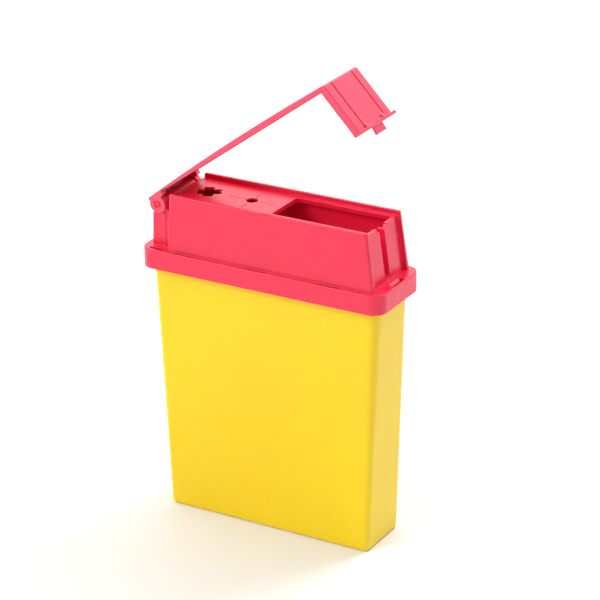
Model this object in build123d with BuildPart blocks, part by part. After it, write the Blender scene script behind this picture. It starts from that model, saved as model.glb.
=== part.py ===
"""Flat sharps container: a tapered tub, a clip-on cover with a raised housing, and a hinged closing lid.

X runs along the long side from the hinge towards the latch, Y from front to back, Z up.
The origin is the middle of the base, on the surface the container stands on. Sizes are in millimetres.
"""
from build123d import *
from math import atan2, cos, degrees, radians, sin
import os

# ---- Tub ----
tub_base_length = 146.0
tub_base_width = 41.0
tub_base_corner = 3.2
tub_mouth_length = 163.0
tub_mouth_width = 42.6
tub_mouth_corner = 6.5
tub_height = 178.4
tub_wall = 1.6
tub_floor = 1.8
tub_base_edge = 2.4        # rounding where the walls meet the base
foot_width = 6.0           # ring that the tub stands on
foot_height = 1.0
collar_height = 16.8       # thicker band round the mouth
collar_step = 0.25
bead_thickness = 1.8       # bead under the cover's rim
bead_drop = 4.8            # from the mouth down to the bead

# ---- Cover: rim ----
rim_length = 173.2
rim_width = 54.0
rim_height = 13.0
rim_corner = 9.0
rim_wall = 1.0
rim_flange = 2.0
rim_edge = 0.6
rim_lower_edge = 0.35
plug_depth = 8.0           # wall that reaches down inside the tub's mouth
plug_wall = 1.4
plug_gap = 0.15
bead_gap = 0.4
hook_reach = 1.6
hook_height = 2.4
hook_gap = 0.2

# ---- Cover: windows in the rim, above the hooks ----
window_count = 3
window_pitch = 52.0
window_shift = -1.7
window_length = 14.5
window_width = 2.1
hinge_window_length = 10.0
hinge_window_width = 2.8
hinge_window_inset = 3.8
hinge_window_shift = -1.0
latch_slot_width = 12.8
latch_slot_inset = 1.2     # from the rim's outer face to the slot
pocket_reach = 2.2         # sloping pocket on the inner side of the latch slot
pocket_depth = 1.3
guard_thickness = 0.9      # wall between the latch slot and the tub
guard_gap = 0.15
guard_height = 4.0

# ---- Cover: raised housing ----
housing_height = 37.8
housing_base_width = 47.4
housing_wall = 1.8
housing_corner = 1.6
side_lean = 1.0            # how far each long side leans in over the height
end_lean = 5.1             # how far the latch end leans in over the height
hinge_end_lean = 1.8
end_ledge = 6.6            # rim left free beyond the latch end
end_recess = 2.4           # end wall set back between the two fins
cheek_wall = 2.4           # long walls above the deck
deck_depth = 3.0           # deck below the top of the long walls
deck_thickness = 1.8
deck_bead_height = 0.25
deck_bead_width = 1.2
top_corner = 0.8

# ---- Cover: openings in the deck and end wall ----
drop_start = 3.6
drop_width = 34.6
drop_corner = 3.0
lip_wall = 1.5
lip_depth = 3.0
slot_width = 6.2
slot_flare = 3.0
slot_floor_gap = 1.0
star_x = -50.3
star_turn = 27.0           # degrees
star_reach = 7.3           # half length of the wide arm
star_arm_width = 8.0
star_cross_reach = 7.9     # half length of the narrow arm
star_cross_width = 6.3
star_point_reach = 9.1     # two points at one end of the wide arm
star_point_offset = 2.8
star_edge = 0.4
cross_x = -18.6
cross_reach_x = 16.8       # half length of the slit along X
cross_reach_y = 14.3
cross_hole_radius = 4.1    # to the corners of the six-sided hole
slit = 0.5
petal_thickness = 1.2
petal_root_gap = 0.05

# ---- Hinge ----
pin_diameter = 3.0
pin_running_gap = 0.06
pin_recess_diameter = 5.4
pin_recess_depth = 0.9
pin_end_gap = 0.25
pillar_ledge = 5.0         # rim left free beyond the hinge end
pillar_lean = 1.0
hinge_inset = 7.3          # from the pillar's foot to the hinge axis
hinge_drop = 8.4           # hinge axis below the top of the housing
pillar_to_housing = 6.7    # from the hinge axis to the housing's end face
barrel_radius = 4.5
pillar_half_width = 17.8
pillar_wall = 2.0
notch_drop = 7.1           # below the hinge axis, room for the lid's back edge when it is wide open
notch_inset = 3.3
pillar_rib_start = 7.9     # from the pillar's foot to the rib on its side
pillar_rib_width = 2.2
pillar_rib_height = 0.35
knuckle_radius = 5.5
knuckle_gap = 0.4
knuckle_thickness = 4.2
knuckle_back = 3.8
knuckle_front = 7.5
knuckle_block = 3.2
knuckle_step = 0.15        # knuckles stay below the plate's top
back_height = 6.75         # top of the plate above the hinge axis, at its back edge
barrel_gap = 0.35          # lid's back edge to the barrel

# ---- Closing lid ----
lid_open = 36.0            # degrees above closed
lid_width = 40.0
lid_plate = 1.3
lid_skirt = 1.5
lid_gap = 0.3              # skirt above the deck when closed
lid_mid_depth = 3.6
lid_side_edge = 0.6
lid_fold_depth = 2.9
fold_radius = 1.6
flap_standoff = 4.6        # fold beyond the fins' top corners
flap_floor_gap = 1.4       # flap above the rim when closed
flap_depth = 5.0
grip_width = 44.6
grip_thickness = 2.0
grip_inside = 3.8
grip_outside = 1.2
groove_offset = 12.2
groove_width = 1.8
groove_depth = 0.5
gusset_offset = 10.0
gusset_width = 2.4
gusset_height = 3.2

# ---- Latch tongue ----
tongue_width = 11.4
tongue_thickness = 1.2
tongue_length = 5.0
tongue_inset = 1.0         # from the rim's inner face to the tongue's outer face
tongue_root_gap = 0.08
barb_reach = 0.3
barb_gap = 0.05
barb_height = 2.0

# ---- Places that follow from the sizes above ----
rim_top = tub_height + rim_flange
rim_bottom = rim_top - rim_height
housing_top = rim_top + housing_height
deck_top = housing_top - deck_depth
deck_under = deck_top - deck_thickness
pillar_face = -rim_length / 2 + pillar_ledge
hinge_x = pillar_face + hinge_inset
hinge_z = housing_top - hinge_drop
housing_start = hinge_x + pillar_to_housing
housing_end = rim_length / 2 - end_ledge
rim_inner_x = rim_length / 2 - rim_wall
rim_inner_y = rim_width / 2 - rim_wall
bead_top = tub_height - bead_drop
bead_under = bead_top - bead_thickness
end_slope = end_lean / housing_height
recess_half_width = housing_base_width / 2 - side_lean - cheek_wall
knuckle_inner_y = pillar_half_width + knuckle_gap
knuckle_outer_y = knuckle_inner_y + knuckle_thickness


def tub_size(height, grow=0.0):
    """Length, width and corner radius of the tub's outside at a height, made larger all round by grow."""
    share = height / tub_height
    length = tub_base_length + (tub_mouth_length - tub_base_length) * share
    width = tub_base_width + (tub_mouth_width - tub_base_width) * share
    corner = tub_base_corner + (tub_mouth_corner - tub_base_corner) * share
    return length + 2 * grow, width + 2 * grow, max(corner + grow, 0.8)


def housing_share(height):
    """How far up the housing a height is, from 0 at the rim to 1 at the top."""
    return (height - rim_top) / housing_height


def end_x(height):
    """X of the fins' end faces at a height."""
    return housing_end - end_lean * housing_share(height)


def panel_x(height):
    """X of the recessed end wall's outer face at a height."""
    return end_x(height) - end_recess


def start_x(height):
    """X of the housing's end face beside the hinge pillar at a height."""
    return housing_start + hinge_end_lean * housing_share(height)


def half_y(height):
    """Half the housing's width at a height."""
    return housing_base_width / 2 - side_lean * housing_share(height)


# ---------------------------------------------------------------- tub
with BuildPart() as tub:
    with BuildSketch(Plane.XY):
        RectangleRounded(*tub_size(0))
    with BuildSketch(Plane.XY.offset(tub_height)):
        RectangleRounded(*tub_size(tub_height))
    loft()
    fillet(tub.edges().group_by(Axis.Z)[0], radius=tub_base_edge)
    # thicker band round the mouth
    with BuildSketch(Plane.XY.offset(tub_height - collar_height)):
        RectangleRounded(*tub_size(tub_height - collar_height, collar_step))
    with BuildSketch(Plane.XY.offset(tub_height)):
        RectangleRounded(*tub_size(tub_height, collar_step))
    loft()
    # bead, which the cover's hooks catch under
    with BuildSketch(Plane.XY.offset(bead_under)):
        RectangleRounded(2 * (rim_inner_x - bead_gap), 2 * (rim_inner_y - bead_gap), rim_corner - rim_wall)
    extrude(amount=bead_thickness)
    # hollow inside
    with BuildSketch(Plane.XY.offset(foot_height + tub_floor)):
        RectangleRounded(*tub_size(foot_height + tub_floor, -tub_wall))
    with BuildSketch(Plane.XY.offset(tub_height)):
        RectangleRounded(*tub_size(tub_height, -tub_wall))
    loft(mode=Mode.SUBTRACT)
    # base raised inside its standing ring
    with BuildSketch(Plane.XY):
        RectangleRounded(tub_base_length - 2 * foot_width, tub_base_width - 2 * foot_width, tub_base_corner)
    extrude(amount=foot_height, mode=Mode.SUBTRACT)
tub.part.label = "tub"

# ---------------------------------------------------------------- cover
mouth_inner = tub_size(tub_height - plug_depth, -tub_wall - plug_gap)
plug_corner = mouth_inner[2]
aperture_half_width = mouth_inner[1] / 2 - plug_wall
window_y = rim_inner_y - window_width / 2
window_places = [(window_shift + (i - (window_count - 1) / 2) * window_pitch, side * window_y)
                 for i in range(window_count) for side in (-1, 1)]
hook_z = bead_under - hook_gap
tongue_outer_x = rim_inner_x - tongue_inset
latch_slot_start = tongue_outer_x - tongue_thickness - barb_reach - barb_gap
latch_slot_end = rim_length / 2 - latch_slot_inset
star_half = [(-star_reach, 0), (-star_reach, star_arm_width / 2), (-star_cross_width / 2, star_arm_width / 2),
             (-star_cross_width / 2, star_cross_reach), (star_cross_width / 2, star_cross_reach),
             (star_cross_width / 2, star_arm_width / 2), (star_reach - 1, star_arm_width / 2),
             (star_point_reach, star_point_offset), (star_reach, 0)]
with BuildSketch() as star_outline:
    with BuildLine():
        Polyline(*star_half, *[(x, -y) for x, y in star_half[-2:0:-1]], close=True)
    make_face()
    fillet(star_outline.vertices(), radius=star_edge)

with BuildPart() as cover:
    # rim: a shallow box that drops over the tub's mouth
    with BuildSketch(Plane.XY.offset(rim_bottom)):
        RectangleRounded(rim_length, rim_width, rim_corner)
    extrude(amount=rim_height)
    fillet(cover.edges().group_by(Axis.Z)[-1], radius=rim_edge)
    fillet(cover.edges().group_by(Axis.Z)[0], radius=rim_lower_edge)
    with BuildSketch(Plane.XY.offset(rim_bottom)):
        RectangleRounded(2 * rim_inner_x, 2 * rim_inner_y, rim_corner - rim_wall)
    extrude(amount=rim_height - rim_flange, mode=Mode.SUBTRACT)
    # plug wall inside the tub's mouth
    with BuildSketch(Plane.XY.offset(tub_height - plug_depth)):
        RectangleRounded(mouth_inner[0], mouth_inner[1], plug_corner)
        RectangleRounded(mouth_inner[0] - 2 * plug_wall, mouth_inner[1] - 2 * plug_wall,
                         max(plug_corner - plug_wall, 0.8), mode=Mode.SUBTRACT)
    extrude(amount=plug_depth)
    # raised housing, leaning in towards the top
    with BuildSketch(Plane.XY.offset(rim_top)):
        with Locations(((start_x(rim_top) + end_x(rim_top)) / 2, 0)):
            RectangleRounded(end_x(rim_top) - start_x(rim_top), 2 * half_y(rim_top), housing_corner)
    with BuildSketch(Plane.XY.offset(housing_top)):
        with Locations(((start_x(housing_top) + end_x(housing_top)) / 2, 0)):
            RectangleRounded(end_x(housing_top) - start_x(housing_top), 2 * half_y(housing_top), housing_corner)
    loft()
    fillet(cover.edges().group_by(Axis.Z)[-1], radius=top_corner)
    # trough above the deck, open at both ends
    with BuildSketch(Plane.XY.offset(deck_top)):
        with Locations((housing_start, 0)):
            Rectangle(2 * rim_length, 2 * recess_half_width)
    extrude(amount=deck_depth, mode=Mode.SUBTRACT)
    # end wall set back between the two fins
    with BuildSketch(Plane.XZ):
        with BuildLine():
            Polyline((panel_x(housing_top), housing_top), (panel_x(rim_top), rim_top),
                     (rim_length, rim_top), (rim_length, housing_top), close=True)
        make_face()
    extrude(amount=recess_half_width, both=True, mode=Mode.SUBTRACT)
    # hinge pillar and its barrel
    with BuildSketch(Plane.XZ):
        with BuildLine():
            Polyline((pillar_face, rim_top - rim_flange / 2),
                     (pillar_face + pillar_lean, hinge_z - notch_drop - pillar_lean / 2),
                     (hinge_x - notch_inset, hinge_z - notch_drop),
                     (hinge_x - 0.55 * barrel_radius, hinge_z - 0.8 * barrel_radius),
                     (hinge_x, hinge_z),
                     (hinge_x + barrel_radius, hinge_z),
                     (hinge_x + barrel_radius, hinge_z - barrel_radius),
                     (start_x(hinge_z) + housing_wall / 2, hinge_z - barrel_radius),
                     (start_x(rim_top) + housing_wall / 2, rim_top - rim_flange / 2), close=True)
        make_face()
        with Locations((hinge_x, hinge_z)):
            Circle(barrel_radius)
    extrude(amount=pillar_half_width, both=True)
    for side in (-1, 1):
        with BuildSketch(Plane.XY.offset(rim_top - rim_flange / 2)):
            with Locations((pillar_face + pillar_rib_start + pillar_rib_width / 2, side * pillar_half_width)):
                Rectangle(pillar_rib_width, 2 * pillar_rib_height)
        extrude(amount=hinge_z - knuckle_radius - rim_top)
    # hollow under the deck
    with BuildSketch(Plane.XY.offset(rim_top)):
        with Locations(((start_x(rim_top) + panel_x(rim_top)) / 2, 0)):
            Rectangle(panel_x(rim_top) - start_x(rim_top) - 2 * housing_wall,
                      2 * (half_y(rim_top) - housing_wall))
    with BuildSketch(Plane.XY.offset(deck_under)):
        with Locations(((start_x(deck_under) + panel_x(deck_under)) / 2, 0)):
            Rectangle(panel_x(deck_under) - start_x(deck_under) - 2 * housing_wall,
                      2 * (half_y(deck_under) - housing_wall))
    loft(mode=Mode.SUBTRACT)
    with BuildSketch(Plane.XY.offset(tub_height)):
        with Locations(((start_x(rim_top) + panel_x(rim_top)) / 2, 0)):
            Rectangle(panel_x(rim_top) - start_x(rim_top) - 2 * housing_wall, 2 * aperture_half_width)
    extrude(amount=rim_flange, mode=Mode.SUBTRACT)
    # hollow inside the pillar, open below
    pillar_hollow_start = pillar_face + pillar_lean + pillar_wall
    pillar_hollow_end = start_x(rim_top) - 0.1
    with BuildSketch(Plane.XY.offset(tub_height)):
        with Locations(((pillar_hollow_start + pillar_hollow_end) / 2, 0)):
            Rectangle(pillar_hollow_end - pillar_hollow_start, 2 * (pillar_half_width - pillar_wall))
    extrude(amount=hinge_z - notch_drop - pillar_lean / 2 - pillar_wall - tub_height, mode=Mode.SUBTRACT)
    # lip round the drop opening, and flanges beside the end slot
    drop_end = panel_x(deck_top) - housing_wall
    with BuildSketch(Plane.XY.offset(deck_top - lip_depth)):
        with Locations(((drop_start - lip_wall + drop_end + housing_wall / 2) / 2, 0)):
            Rectangle(drop_end + housing_wall / 2 - drop_start + lip_wall, drop_width + 2 * lip_wall)
    extrude(amount=lip_depth - deck_thickness / 2)
    with BuildSketch(Plane.XZ):
        with BuildLine():
            Polyline((panel_x(deck_top) - housing_wall - lip_depth, deck_top - 0.2),
                     (panel_x(rim_top) - housing_wall - lip_depth, rim_top - rim_flange / 2),
                     (panel_x(rim_top) - housing_wall / 2, rim_top - rim_flange / 2),
                     (panel_x(deck_top) - housing_wall / 2, deck_top - 0.2), close=True)
        make_face()
    extrude(amount=slot_width / 2 + lip_wall, both=True)
    # drop opening
    with BuildSketch(Plane.XY.offset(deck_top - lip_depth)) as drop_outline:
        with Locations(((drop_start + drop_end) / 2, 0)):
            Rectangle(drop_end - drop_start, drop_width)
        fillet(drop_outline.vertices(), radius=drop_corner)
    extrude(amount=lip_depth, mode=Mode.SUBTRACT)
    # slot down the end wall, flared at its top
    slot_bottom = rim_top + slot_floor_gap
    half_slot = slot_width / 2
    with BuildSketch(Plane.YZ.offset(panel_x(deck_top) - housing_wall - lip_depth - slot_flare)):
        with BuildLine():
            Polyline((-half_slot - slot_flare, deck_top), (-half_slot - slot_flare, deck_top + 1),
                     (half_slot + slot_flare, deck_top + 1), (half_slot + slot_flare, deck_top))
            RadiusArc((half_slot + slot_flare, deck_top), (half_slot, deck_top - slot_flare), slot_flare)
            Line((half_slot, deck_top - slot_flare), (half_slot, slot_bottom + half_slot))
            ThreePointArc((half_slot, slot_bottom + half_slot), (0, slot_bottom),
                          (-half_slot, slot_bottom + half_slot))
            Line((-half_slot, slot_bottom + half_slot), (-half_slot, deck_top - slot_flare))
            RadiusArc((-half_slot, deck_top - slot_flare), (-half_slot - slot_flare, deck_top), slot_flare)
        make_face()
    extrude(amount=end_lean + end_recess + 2 * lip_depth + slot_flare + housing_wall, mode=Mode.SUBTRACT)
    # star-shaped needle hole
    with BuildSketch(Plane.XY.offset(deck_under)):
        add(Pos(star_x, 0) * Rot(0, 0, star_turn) * star_outline.sketch)
    extrude(amount=deck_thickness, mode=Mode.SUBTRACT)
    # place for the four petals
    with BuildSketch(Plane.XY.offset(deck_under)):
        with BuildLine():
            Polyline((cross_x - cross_reach_x, 0), (cross_x, -cross_reach_y),
                     (cross_x + cross_reach_x, 0), (cross_x, cross_reach_y), close=True)
        make_face()
    extrude(amount=deck_thickness, mode=Mode.SUBTRACT)
    # bead across the deck beside the hinge
    with BuildSketch(Plane.XY.offset(deck_top - deck_bead_height)):
        with Locations((start_x(deck_top) + deck_bead_width / 2, 0)):
            Rectangle(deck_bead_width, 2 * pillar_half_width)
    extrude(amount=2 * deck_bead_height)
    # windows through the rim's flange
    with BuildSketch(Plane.XY.offset(tub_height)):
        with Locations(*window_places):
            Rectangle(window_length, window_width)
        with Locations(*[(hinge_x + hinge_window_shift, side * (rim_width / 2 - hinge_window_inset))
                         for side in (-1, 1)]):
            Rectangle(hinge_window_length, hinge_window_width)
        with Locations(((latch_slot_start + latch_slot_end) / 2, 0)):
            Rectangle(latch_slot_end - latch_slot_start, latch_slot_width)
    extrude(amount=rim_flange, mode=Mode.SUBTRACT)
    # sloping pocket beside the latch slot, and a wall that screens the tub from it
    with BuildSketch(Plane.XZ):
        with BuildLine():
            Polyline((latch_slot_start - pocket_reach, rim_top),
                     (latch_slot_start + 0.01, rim_top - pocket_depth),
                     (latch_slot_start + 0.01, rim_top + 0.01),
                     (latch_slot_start - pocket_reach, rim_top + 0.01), close=True)
        make_face()
    extrude(amount=latch_slot_width / 2, both=True, mode=Mode.SUBTRACT)
    with BuildSketch(Plane.XY.offset(tub_height - guard_height)):
        with Locations((latch_slot_start - guard_gap / 2 - guard_thickness / 2, 0)):
            Rectangle(guard_thickness, latch_slot_width + 2 * guard_thickness)
    extrude(amount=guard_height + rim_flange / 4)
    # hooks under the windows
    for side in (-1, 1):
        with BuildSketch(Plane.YZ.offset(window_shift - window_length / 2)):
            with BuildLine():
                Polyline((side * (rim_inner_y + rim_wall / 2), hook_z),
                         (side * (rim_inner_y - hook_reach), hook_z),
                         (side * rim_inner_y, hook_z - hook_height),
                         (side * (rim_inner_y + rim_wall / 2), hook_z - hook_height), close=True)
            make_face()
        hook = extrude(amount=window_length, mode=Mode.PRIVATE)
        for i in range(window_count):
            add(Pos((i - (window_count - 1) / 2) * window_pitch, 0, 0) * hook)
    # bore for the hinge pin
    with BuildSketch(Plane.XZ):
        with Locations((hinge_x, hinge_z)):
            Circle(pin_diameter / 2)
    extrude(amount=pillar_half_width, both=True, mode=Mode.SUBTRACT)
cover.part.label = "cover"

# ---------------------------------------------------------------- petals of the cross-cut hole
petal_corners = {"front_left": (-1, -1), "front_right": (1, -1), "back_left": (-1, 1), "back_right": (1, 1)}
petals = {}
for corner, (side_x, side_y) in petal_corners.items():
    slope = cross_reach_y / cross_reach_x
    root_gap_x = petal_root_gap * (1 + slope ** 2) ** 0.5 / slope
    tip_x = slit / 2
    tip_y = slit / 2
    reach_x = cross_reach_x - root_gap_x - tip_y / slope
    reach_y = (cross_reach_x - root_gap_x - tip_x) * slope
    with BuildPart() as petal:
        with BuildSketch(Plane.XY.offset(deck_top - petal_thickness)):
            with BuildLine():
                Polyline((cross_x + side_x * tip_x, side_y * tip_y),
                         (cross_x + side_x * reach_x, side_y * tip_y),
                         (cross_x + side_x * tip_x, side_y * reach_y), close=True)
            make_face()
            with Locations((cross_x, 0)):
                RegularPolygon(cross_hole_radius, 6, mode=Mode.SUBTRACT)
        extrude(amount=petal_thickness)
    petal.part.label = "petal_" + corner
    petals[corner] = petal.part

# ---------------------------------------------------------------- hinge pin
pin_half_length = knuckle_outer_y - pin_end_gap
with BuildPart() as hinge_pin:
    with BuildSketch(Plane.XZ):
        with Locations((hinge_x, hinge_z)):
            Circle(pin_diameter / 2)
    extrude(amount=pin_half_length, both=True)
    chamfer(hinge_pin.edges().filter_by(GeomType.CIRCLE), length=0.3)
hinge_pin.part.label = "hinge_pin"

# ---------------------------------------------------------------- closing lid
# Its side view is drawn in a plane that turns with the lid: u runs from the hinge axis to the fold and
# v is upwards when the lid is closed.
lid_plane = Plane(origin=(hinge_x, 0, hinge_z),
                  x_dir=(cos(radians(lid_open)), 0, sin(radians(lid_open))), z_dir=(0, -1, 0))
skirt_v = deck_top + lid_gap - hinge_z
back_u = -knuckle_back
back_v = back_height
fold_u = end_x(housing_top) + flap_standoff - hinge_x
fold_v = skirt_v + lid_fold_depth
middle_u = (back_u + fold_u) / 2
middle_v = skirt_v + lid_mid_depth
flap_v = rim_top + flap_floor_gap - hinge_z
flap_u = fold_u + (fold_v - flap_v) * end_slope
lid_half = lid_width / 2
grip_v = flap_v + grip_thickness


def flap_outer_u(v):
    """U of the flap's outer face at v."""
    return fold_u + (fold_v - v) * end_slope


def on_lid_side(edge):
    """Whether an edge runs along a side of the plate's top or of the flap's face."""
    place = lid_plane.to_local_coords(edge.center())
    on_side = abs(abs(place.Z) - lid_half) < 0.01
    if place.X < fold_u - flap_depth:
        return on_side and place.Y > skirt_v + 1 and place.X > back_u + 1
    return on_side and place.X > flap_outer_u(place.Y) - fold_radius


with BuildPart() as closing_lid:
    # plate and flap as one bent block
    with BuildSketch(lid_plane):
        with BuildLine():
            ThreePointArc((back_u, back_v), (middle_u, middle_v), (fold_u, fold_v))
            Polyline((fold_u, fold_v), (flap_u, flap_v), (flap_u - flap_depth, flap_v),
                     (flap_outer_u(skirt_v) - flap_depth, skirt_v), (back_u, skirt_v), (back_u, back_v))
        make_face()
    extrude(amount=lid_half, both=True)
    fold_corner = lid_plane.from_local_coords((fold_u, fold_v, 0))
    fillet(closing_lid.edges().filter_by(Axis.Y).sort_by_distance(fold_corner)[0], radius=fold_radius)
    fillet(closing_lid.edges().filter_by(on_lid_side), radius=lid_side_edge)
    # hollow under the plate and behind the flap
    with BuildSketch(lid_plane):
        with BuildLine():
            ThreePointArc((back_u, back_v - lid_plate), (middle_u, middle_v - lid_plate),
                          (fold_u - lid_plate, fold_v - lid_plate))
            Polyline((fold_u - lid_plate, fold_v - lid_plate), (flap_u - lid_plate, flap_v),
                     (flap_u - 2 * flap_depth, flap_v), (flap_u - 2 * flap_depth, skirt_v - flap_depth),
                     (back_u, skirt_v - flap_depth), (back_u, back_v - lid_plate))
        make_face()
    extrude(amount=lid_half - lid_skirt, both=True, mode=Mode.SUBTRACT)
    # lip that wraps over the pillar's barrel
    with BuildSketch(lid_plane):
        with BuildLine():
            Polyline((back_u, 0), (0, 0), (0, back_v - lid_plate / 2), (back_u, back_v - lid_plate / 2),
                     close=True)
        make_face()
        Circle(barrel_radius + barrel_gap, mode=Mode.SUBTRACT)
    extrude(amount=lid_half, both=True)
    # grip along the flap's lower edge
    with BuildSketch(lid_plane):
        with Locations((flap_u + (grip_outside - grip_inside) / 2, flap_v + grip_thickness / 2)):
            Rectangle(grip_inside + grip_outside, grip_thickness)
    extrude(amount=grip_width / 2, both=True)
    # grooves down the flap's face
    for side in (-1, 1):
        with BuildSketch(lid_plane.offset(side * groove_offset)):
            with BuildLine():
                Polyline((flap_outer_u(fold_v + 1) - groove_depth, fold_v + 1),
                         (flap_outer_u(fold_v + 1) + 1, fold_v + 1),
                         (flap_outer_u(grip_v) + 1, grip_v), (flap_outer_u(grip_v) - groove_depth, grip_v),
                         close=True)
            make_face()
        extrude(amount=groove_width / 2, both=True, mode=Mode.SUBTRACT)
    # gussets between the flap's face and the grip
    for side in (-1, 1):
        with BuildSketch(lid_plane.offset(side * gusset_offset)):
            with BuildLine():
                Polyline((flap_outer_u(grip_v) - lid_plate / 2, grip_v - grip_thickness / 2),
                         (flap_u + grip_outside, grip_v - grip_thickness / 2), (flap_u + grip_outside, grip_v),
                         (flap_outer_u(grip_v + gusset_height), grip_v + gusset_height),
                         (flap_outer_u(grip_v + gusset_height) - lid_plate / 2, grip_v + gusset_height),
                         close=True)
            make_face()
        extrude(amount=gusset_width / 2, both=True)
    # knuckles beside the pillar
    for side in (-1, 1):
        with BuildSketch(lid_plane.offset(side * (knuckle_inner_y + knuckle_outer_y) / 2)):
            Circle(knuckle_radius)
            with BuildLine():
                Polyline((back_u + knuckle_step, back_v - knuckle_step), (back_u + knuckle_step, 0),
                         (knuckle_front, back_v - knuckle_block), (knuckle_front, back_v - knuckle_step),
                         close=True)
            make_face()
        extrude(amount=knuckle_thickness / 2, both=True)
        with BuildSketch(lid_plane.offset(side * (knuckle_inner_y + knuckle_outer_y) / 2)):
            Circle(pin_diameter / 2 + pin_running_gap)
        extrude(amount=knuckle_thickness / 2, both=True, mode=Mode.SUBTRACT)
        with BuildSketch(lid_plane.offset(side * (knuckle_outer_y - pin_recess_depth / 2))):
            Circle(pin_recess_diameter / 2)
        extrude(amount=pin_recess_depth / 2, both=True, mode=Mode.SUBTRACT)
closing_lid.part.label = "closing_lid"

# ---------------------------------------------------------------- latch tongue
tongue_outer_u = tongue_outer_x - hinge_x
tongue_inner_u = tongue_outer_u - tongue_thickness
tongue_root_v = flap_v - tongue_root_gap
tongue_tip_v = tongue_root_v - tongue_length
with BuildPart() as latch_tongue:
    with BuildSketch(lid_plane):
        with BuildLine():
            Polyline((tongue_inner_u, tongue_root_v), (tongue_outer_u, tongue_root_v),
                     (tongue_outer_u, tongue_tip_v), (tongue_inner_u, tongue_tip_v),
                     (tongue_inner_u - barb_reach, tongue_tip_v + barb_height / 2),
                     (tongue_inner_u, tongue_tip_v + barb_height), close=True)
        make_face()
    extrude(amount=tongue_width / 2, both=True)
latch_tongue.part.label = "latch_tongue"

# ---------------------------------------------------------------- files
os.makedirs("parts", exist_ok=True)
export_step(tub.part, "parts/tub.step")
export_step(cover.part, "parts/cover.step")
export_step(hinge_pin.part, "parts/hinge_pin.step")
export_step(closing_lid.part, "parts/closing_lid.step")
export_step(latch_tongue.part, "parts/latch_tongue.step")
for corner, petal_part in petals.items():
    export_step(petal_part, f"parts/petal_{corner}.step")
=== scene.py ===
"""Looks of a flat sharps container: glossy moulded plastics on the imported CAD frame, with a plain stage."""

import math

import bpy
from mathutils import Matrix, Vector

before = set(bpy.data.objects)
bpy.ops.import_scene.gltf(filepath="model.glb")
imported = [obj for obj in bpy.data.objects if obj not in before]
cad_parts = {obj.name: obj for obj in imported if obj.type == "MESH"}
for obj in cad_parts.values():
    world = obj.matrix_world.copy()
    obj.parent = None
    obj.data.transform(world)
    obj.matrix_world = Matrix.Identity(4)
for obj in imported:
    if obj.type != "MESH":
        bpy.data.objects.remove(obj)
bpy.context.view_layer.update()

bl_info = {
    "name": "Flat sharps container",
    "version": (1, 0, 0),
    "blender": (4, 5, 0),
    "location": "3D View > Sidebar > Sharps",
    "description": "Finishes a flat sharps container with moulded plastics and puts it on a plain stage",
    "category": "Object",
}


# ---------------------------------------------------------------- shader sheets
class Socket:
    """An output socket that takes part in Python arithmetic by adding Math nodes."""

    def __init__(self, sheet, output):
        self.sheet = sheet
        self.output = output

    def _math(self, operation, *values):
        return self.sheet.node("ShaderNodeMath", {"operation": operation}, dict(enumerate(values)))

    def __add__(self, other):
        return self._math("ADD", self, other)

    def __radd__(self, other):
        return self._math("ADD", other, self)

    def __sub__(self, other):
        return self._math("SUBTRACT", self, other)

    def __rsub__(self, other):
        return self._math("SUBTRACT", other, self)

    def __mul__(self, other):
        return self._math("MULTIPLY", self, other)

    def __rmul__(self, other):
        return self._math("MULTIPLY", other, self)


class Sheet:
    """The node tree of a new material or world."""

    def __init__(self, owner):
        self.owner = owner
        owner.use_nodes = True
        self.tree = owner.node_tree
        self.tree.nodes.clear()

    def node(self, kind, settings=None, values=None, output=0):
        """Adds a node, sets its settings, fills its sockets with numbers or links, and returns an output."""
        made = self.tree.nodes.new(kind)
        for key, value in (settings or {}).items():
            setattr(made, key, value)
        for key, value in (values or {}).items():
            socket = made.inputs[key]
            if isinstance(value, Socket):
                self.tree.links.new(value.output, socket)
            else:
                socket.default_value = value
        return Socket(self, made.outputs[output]) if len(made.outputs) else None

    def part(self, vector, axis):
        """One of a vector's three parts, X, Y or Z."""
        return self.node("ShaderNodeSeparateXYZ", None, {"Vector": vector}, output=axis)

    def noise(self, place, scale, detail, roughness):
        return self.node("ShaderNodeTexNoise", None,
                         {"Vector": place, "Scale": scale, "Detail": detail, "Roughness": roughness})

    def ramp(self, value, low, high, out_low=0.0, out_high=1.0):
        """Maps low to out_low and high to out_high, and stays at these beyond them."""
        return self.node("ShaderNodeMapRange", {"clamp": True},
                         {"Value": value, "From Min": low, "From Max": high, "To Min": out_low,
                          "To Max": out_high})

    def mix(self, share, first, second):
        """Mixes two colours. Their sockets go by number, because other kinds of value share their names."""
        return self.node("ShaderNodeMix", {"data_type": "RGBA"}, {0: share, 6: first, 7: second}, output=2)


def colour4(colour):
    return (colour[0], colour[1], colour[2], 1.0)


def paler(colour, kept, added):
    """Keeps a share of each part of a colour and adds the same to all three."""
    return tuple(kept * part + added for part in colour)


# ---------------------------------------------------------------- moulded plastic
# Lengths are in metres. Each noise has its scale, which is about the number of its patches along a metre,
# its detail and its roughness. A range gives the two values between which a noise fades in.
flow_noise = (14.0, 3.0, 0.55)          # broad flow marks in the colour
flow_range = (0.3, 0.7)
dust_noise = (75.0, 5.0, 0.65)
dust_range = (0.52, 0.75)
dust_cover = 0.04                       # share of dust in a patch, everywhere
worn_dust_cover = 0.3                   # added to it at the worn end
dust_paling = (0.9, 0.05)               # share of the colour that is kept, and what is added to it
worn_fade = 0.03                        # height over which the worn end fades in
edge_radius = 0.0005
edge_samples = 6
edge_range = (0.01, 0.12)               # how far the rounded normal has turned, as 1 minus its cosine
rub_noise = (120.0, 3.0, 0.6)
rub_range = (0.35, 0.65)
rub_cover = (0.15, 0.6)                 # least and most rubbing along an edge
rub_paling = (0.8, 0.16)
haze_noise = (150.0, 4.0, 0.65)
scuff_noise = (1.0, 2.0, 0.5)
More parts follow.
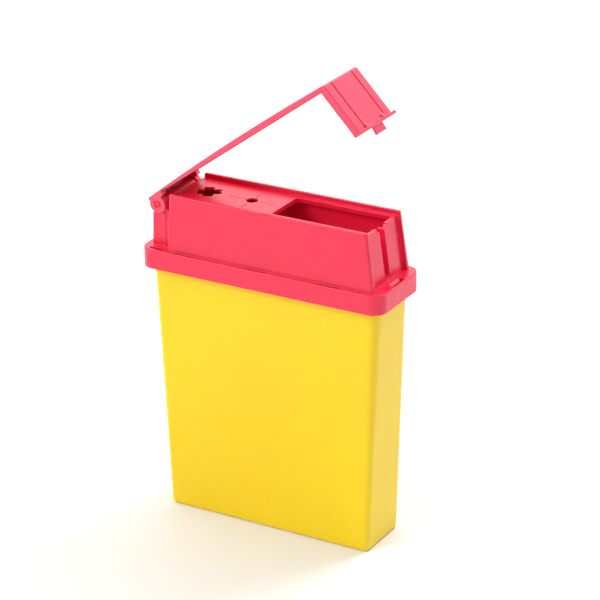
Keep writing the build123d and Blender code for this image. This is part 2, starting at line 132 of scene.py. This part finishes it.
scuff_range = (0.7, 0.85)
scuff_turn = (0.3, 0.5, 0.2)
scuff_stretch = (60.0, 900.0, 900.0)
haze_depth, scuff_depth, dust_depth, rub_polish = 0.08, 0.02, 0.06, 0.05    # changes of the roughness
skin_noise = (1400.0, 2.0, 0.5)         # fine grain of the mould
wave_noise = (38.0, 1.0, 0.4)           # slight sink of the walls
wave_share, skin_share, scuff_share = 0.9, 0.05, 0.002                      # of the bump's height
bump_strength = 0.08
bump_distance = 0.0006
refraction = 1.49
inner_glow = 0.1                        # share of the light that passes under the surface
glow_reach = (1.0, 0.45, 0.2)           # of red, green and blue light
glow_scale = 0.003


def moulded_plastic(name, colour, deep_shares, roughness, gloss, worn_height):
    """Moulded polypropylene: flow marks, dust, rubbed edges, handling haze, fine scuffs and a wavy skin.

    deep_shares gives the darker colour of the flow marks, and dust gathers below worn_height.
    """
    sheet = Sheet(bpy.data.materials.new(name))
    place = sheet.node("ShaderNodeTexCoord", output="Object")
    height = sheet.part(place, "Z")
    # colour: broad flow marks, and a thin film of dust that gathers towards the worn end
    deep_colour = tuple(part * share for part, share in zip(colour, deep_shares))
    tone = sheet.ramp(sheet.noise(place, *flow_noise), *flow_range)
    plain_colour = sheet.mix(tone, colour4(deep_colour), colour4(colour))
    patches = sheet.ramp(sheet.noise(place, *dust_noise), *dust_range)
    low = sheet.ramp(height, worn_height, worn_height - worn_fade)
    dusted = sheet.mix(patches * (low * worn_dust_cover + dust_cover), plain_colour,
                       colour4(paler(colour, *dust_paling)))
    # edges: rounded a little, and rubbed paler where they are handled
    rounded = sheet.node("ShaderNodeBevel", {"samples": edge_samples}, {"Radius": edge_radius})
    flat = sheet.node("ShaderNodeNewGeometry", output="Normal")
    cosine = sheet.node("ShaderNodeVectorMath", {"operation": "DOT_PRODUCT"}, {0: rounded, 1: flat},
                        output="Value")
    edge = sheet.ramp(1.0 - cosine, *edge_range)
    rubbed = edge * sheet.ramp(sheet.noise(place, *rub_noise), *rub_range, *rub_cover)
    base = sheet.mix(rubbed, dusted, colour4(paler(colour, *rub_paling)))
    # roughness: haze from handling, and scuffs drawn out sideways
    haze = sheet.noise(place, *haze_noise)
    stretched = sheet.node("ShaderNodeMapping", {"vector_type": "POINT"},
                           {"Vector": place, "Rotation": scuff_turn, "Scale": scuff_stretch})
    scuffs = sheet.ramp(sheet.noise(stretched, *scuff_noise), *scuff_range)
    rough = (roughness + (haze - 0.5) * haze_depth + scuffs * scuff_depth + low * patches * dust_depth
             - rubbed * rub_polish)
    # bump: skin of the mould, slight sink and the scuffs
    skin = sheet.noise(place, *skin_noise)
    wave = sheet.noise(place, *wave_noise)
    bump = sheet.node("ShaderNodeBump", None,
                      {"Height": wave * wave_share + skin * skin_share - scuffs * scuff_share,
                       "Strength": bump_strength, "Distance": bump_distance, "Normal": rounded})
    surface = sheet.node("ShaderNodeBsdfPrincipled", {"subsurface_method": "BURLEY"},
                         {"Base Color": base, "Roughness": rough, "Normal": bump, "IOR": refraction,
                          "Specular IOR Level": gloss, "Subsurface Weight": inner_glow,
                          "Subsurface Radius": glow_reach, "Subsurface Scale": glow_scale})
    sheet.node("ShaderNodeOutputMaterial", None, {"Surface": surface})
    return sheet.owner


def finish_node(name, material):
    """Gives a carried-over CAD node its material."""
    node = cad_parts[name]
    node.data.materials.clear()
    node.data.materials.append(material)


# ---------------------------------------------------------------- properties
class SHARPS_PG_finish(bpy.types.PropertyGroup):
    tub_colour: bpy.props.FloatVectorProperty(
        name="Tub colour", description="Base colour of the tub", default=(0.96, 0.68, 0.003),
        subtype="COLOR", min=0.0, max=1.0)
    cover_colour: bpy.props.FloatVectorProperty(
        name="Cover colour", description="Base colour of the cover", default=(0.88, 0.016, 0.07),
        subtype="COLOR", min=0.0, max=1.0)
    lid_colour: bpy.props.FloatVectorProperty(
        name="Lid colour", description="Base colour of the closing lid", default=(0.88, 0.055, 0.13),
        subtype="COLOR", min=0.0, max=1.0)


class SHARPS_PG_stage(bpy.types.PropertyGroup):
    target: bpy.props.FloatVectorProperty(
        name="Target", description="Point the camera looks at", default=(0.0149, 0.0, 0.1545),
        subtype="TRANSLATION", unit="LENGTH")
    azimuth: bpy.props.FloatProperty(
        name="Azimuth", description="Camera's turn round the container from its front",
        default=math.radians(30.44), subtype="ANGLE", unit="ROTATION")
    elevation: bpy.props.FloatProperty(
        name="Elevation", description="Camera's height angle", default=math.radians(23.44),
        subtype="ANGLE", unit="ROTATION")
    roll: bpy.props.FloatProperty(
        name="Roll", description="Camera's roll", default=math.radians(-0.89), subtype="ANGLE",
        unit="ROTATION")
    distance: bpy.props.FloatProperty(
        name="Distance", description="Camera's distance from the target", default=1.7693,
        subtype="DISTANCE", unit="LENGTH")
    lens: bpy.props.FloatProperty(
        name="Lens", description="Focal length on a 36 mm sensor", default=169.86, subtype="DISTANCE_CAMERA")
    floor_size: bpy.props.FloatProperty(
        name="Floor size", description="Side of the square floor", default=12.0, subtype="DISTANCE",
        unit="LENGTH")


# ---------------------------------------------------------------- operators
floor_colour = (0.9, 0.9, 0.9)
floor_roughness = 0.8
sensor_width = 36.0                     # millimetres, as the lens is given for
view_reach = 50.0                       # metres, past the floor's far edge


class SHARPS_OT_tub(bpy.types.Operator):
    """Finish the tub in glossy yellow plastic"""
    bl_idname = "sharps.tub"
    bl_label = "Tub"

    def execute(self, context):
        yellow = moulded_plastic("Yellow tub plastic", tuple(context.scene.sharps_finish.tub_colour),
                                 deep_shares=(0.97, 0.93, 1.0), roughness=0.26, gloss=0.4, worn_height=0.03)
        finish_node("tub", yellow)
        return {"FINISHED"}


class SHARPS_OT_cover(bpy.types.Operator):
    """Finish the cover, its petals and the hinge pin in glossy red plastic"""
    bl_idname = "sharps.cover"
    bl_label = "Cover"

    def execute(self, context):
        red = moulded_plastic("Red cover plastic", tuple(context.scene.sharps_finish.cover_colour),
                              deep_shares=(0.95, 0.9, 0.9), roughness=0.26, gloss=0.52, worn_height=0.18)
        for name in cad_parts:
            if name in ("cover", "hinge_pin") or name.startswith("petal"):
                finish_node(name, red)
        return {"FINISHED"}


class SHARPS_OT_lid(bpy.types.Operator):
    """Finish the closing lid and its latch tongue in satin red plastic"""
    bl_idname = "sharps.lid"
    bl_label = "Closing lid"

    def execute(self, context):
        red = moulded_plastic("Red lid plastic", tuple(context.scene.sharps_finish.lid_colour),
                              deep_shares=(0.96, 0.92, 0.92), roughness=0.32, gloss=0.6, worn_height=0.2)
        for name in ("closing_lid", "latch_tongue"):
            finish_node(name, red)
        return {"FINISHED"}


class SHARPS_OT_stage(bpy.types.Operator):
    """Add the floor, the lights, the surroundings and the camera"""
    bl_idname = "sharps.stage"
    bl_label = "Stage"

    def execute(self, context):
        stage = context.scene.sharps_stage
        self.add_floor(stage)
        self.add_surroundings(context)
        self.add_light(context, "Key light", place=(-0.9, -1.4, 1.5), target=stage.target, side=1.2,
                       watts=25.0)
        self.add_light(context, "Side light", place=(1.7, -0.3, 0.9), target=stage.target, side=1.0,
                       watts=1.0)
        self.add_light(context, "Back light", place=(0.35, 0.75, 1.3), target=(0.35, 0.6, 0.0), side=0.5,
                       watts=10.0)
        self.add_camera(context, stage)
        context.scene.view_settings.view_transform = "Standard"
        return {"FINISHED"}

    def add_floor(self, stage):
        bpy.ops.object.select_all(action="DESELECT")
        bpy.ops.mesh.primitive_plane_add(size=stage.floor_size, location=(0, 0, 0))
        floor = bpy.context.active_object
        floor.name = "Floor"
        sheet = Sheet(bpy.data.materials.new("Pale floor"))
        surface = sheet.node("ShaderNodeBsdfPrincipled", None,
                             {"Base Color": colour4(floor_colour), "Roughness": floor_roughness})
        sheet.node("ShaderNodeOutputMaterial", None, {"Surface": surface})
        floor.data.materials.append(sheet.owner)

    def add_surroundings(self, context):
        """White light from all round, brighter from behind the container and dimmer from its right"""
        sheet = Sheet(bpy.data.worlds.new("Soft surroundings"))
        direction = sheet.node("ShaderNodeTexCoord", output="Generated")
        from_behind = sheet.ramp(sheet.part(direction, "Y"), low=-0.5, high=0.5, out_low=0.45, out_high=1.5)
        from_right = sheet.ramp(sheet.part(direction, "X"), low=0.1, high=0.8, out_low=1.0, out_high=0.35)
        surface = sheet.node("ShaderNodeBackground", None,
                             {"Color": (1.0, 1.0, 1.0, 1.0), "Strength": from_behind * from_right})
        sheet.node("ShaderNodeOutputWorld", None, {"Surface": surface})
        context.scene.world = sheet.owner

    def add_light(self, context, name, place, target, side, watts):
        data = bpy.data.lights.new(name, "AREA")
        data.size = side
        data.energy = watts
        light = bpy.data.objects.new(name, data)
        context.scene.collection.objects.link(light)
        light.location = place
        light.rotation_euler = (Vector(target) - Vector(place)).to_track_quat("-Z", "Y").to_euler()

    def add_camera(self, context, stage):
        azimuth, elevation, roll = stage.azimuth, stage.elevation, stage.roll
        back = Vector((math.sin(azimuth) * math.cos(elevation), -math.cos(azimuth) * math.cos(elevation),
                       math.sin(elevation)))
        level_right = Vector((math.cos(azimuth), math.sin(azimuth), 0.0))
        level_up = back.cross(level_right)
        right = math.cos(roll) * level_right + math.sin(roll) * level_up
        up = math.cos(roll) * level_up - math.sin(roll) * level_right
        data = bpy.data.cameras.new("Camera")
        data.lens = stage.lens
        data.sensor_width = sensor_width
        data.clip_end = view_reach
        camera = bpy.data.objects.new("Camera", data)
        context.scene.collection.objects.link(camera)
        place = Vector(stage.target) + stage.distance * back
        camera.matrix_world = Matrix.Translation(place) @ Matrix((right, up, back)).transposed().to_4x4()
        context.scene.camera = camera


class SHARPS_PT_panel(bpy.types.Panel):
    """Lists the container's finishing steps"""
    bl_idname = "SHARPS_PT_panel"
    bl_label = "Flat sharps container"
    bl_space_type = "VIEW_3D"
    bl_region_type = "UI"
    bl_category = "Sharps"

    def draw(self, context):
        for step in steps:
            self.layout.operator(step.bl_idname)


steps = (SHARPS_OT_tub, SHARPS_OT_cover, SHARPS_OT_lid, SHARPS_OT_stage)
classes = (SHARPS_PG_finish, SHARPS_PG_stage, *steps, SHARPS_PT_panel)


def register():
    for cls in classes:
        bpy.utils.register_class(cls)
    bpy.types.Scene.sharps_finish = bpy.props.PointerProperty(type=SHARPS_PG_finish)
    bpy.types.Scene.sharps_stage = bpy.props.PointerProperty(type=SHARPS_PG_stage)


def unregister():
    del bpy.types.Scene.sharps_stage
    del bpy.types.Scene.sharps_finish
    for cls in reversed(classes):
        bpy.utils.unregister_class(cls)


def main():
    register()
    bpy.ops.sharps.tub()
    bpy.ops.sharps.cover()
    bpy.ops.sharps.lid()
    bpy.ops.sharps.stage()


if __name__ == "__main__":
    main()
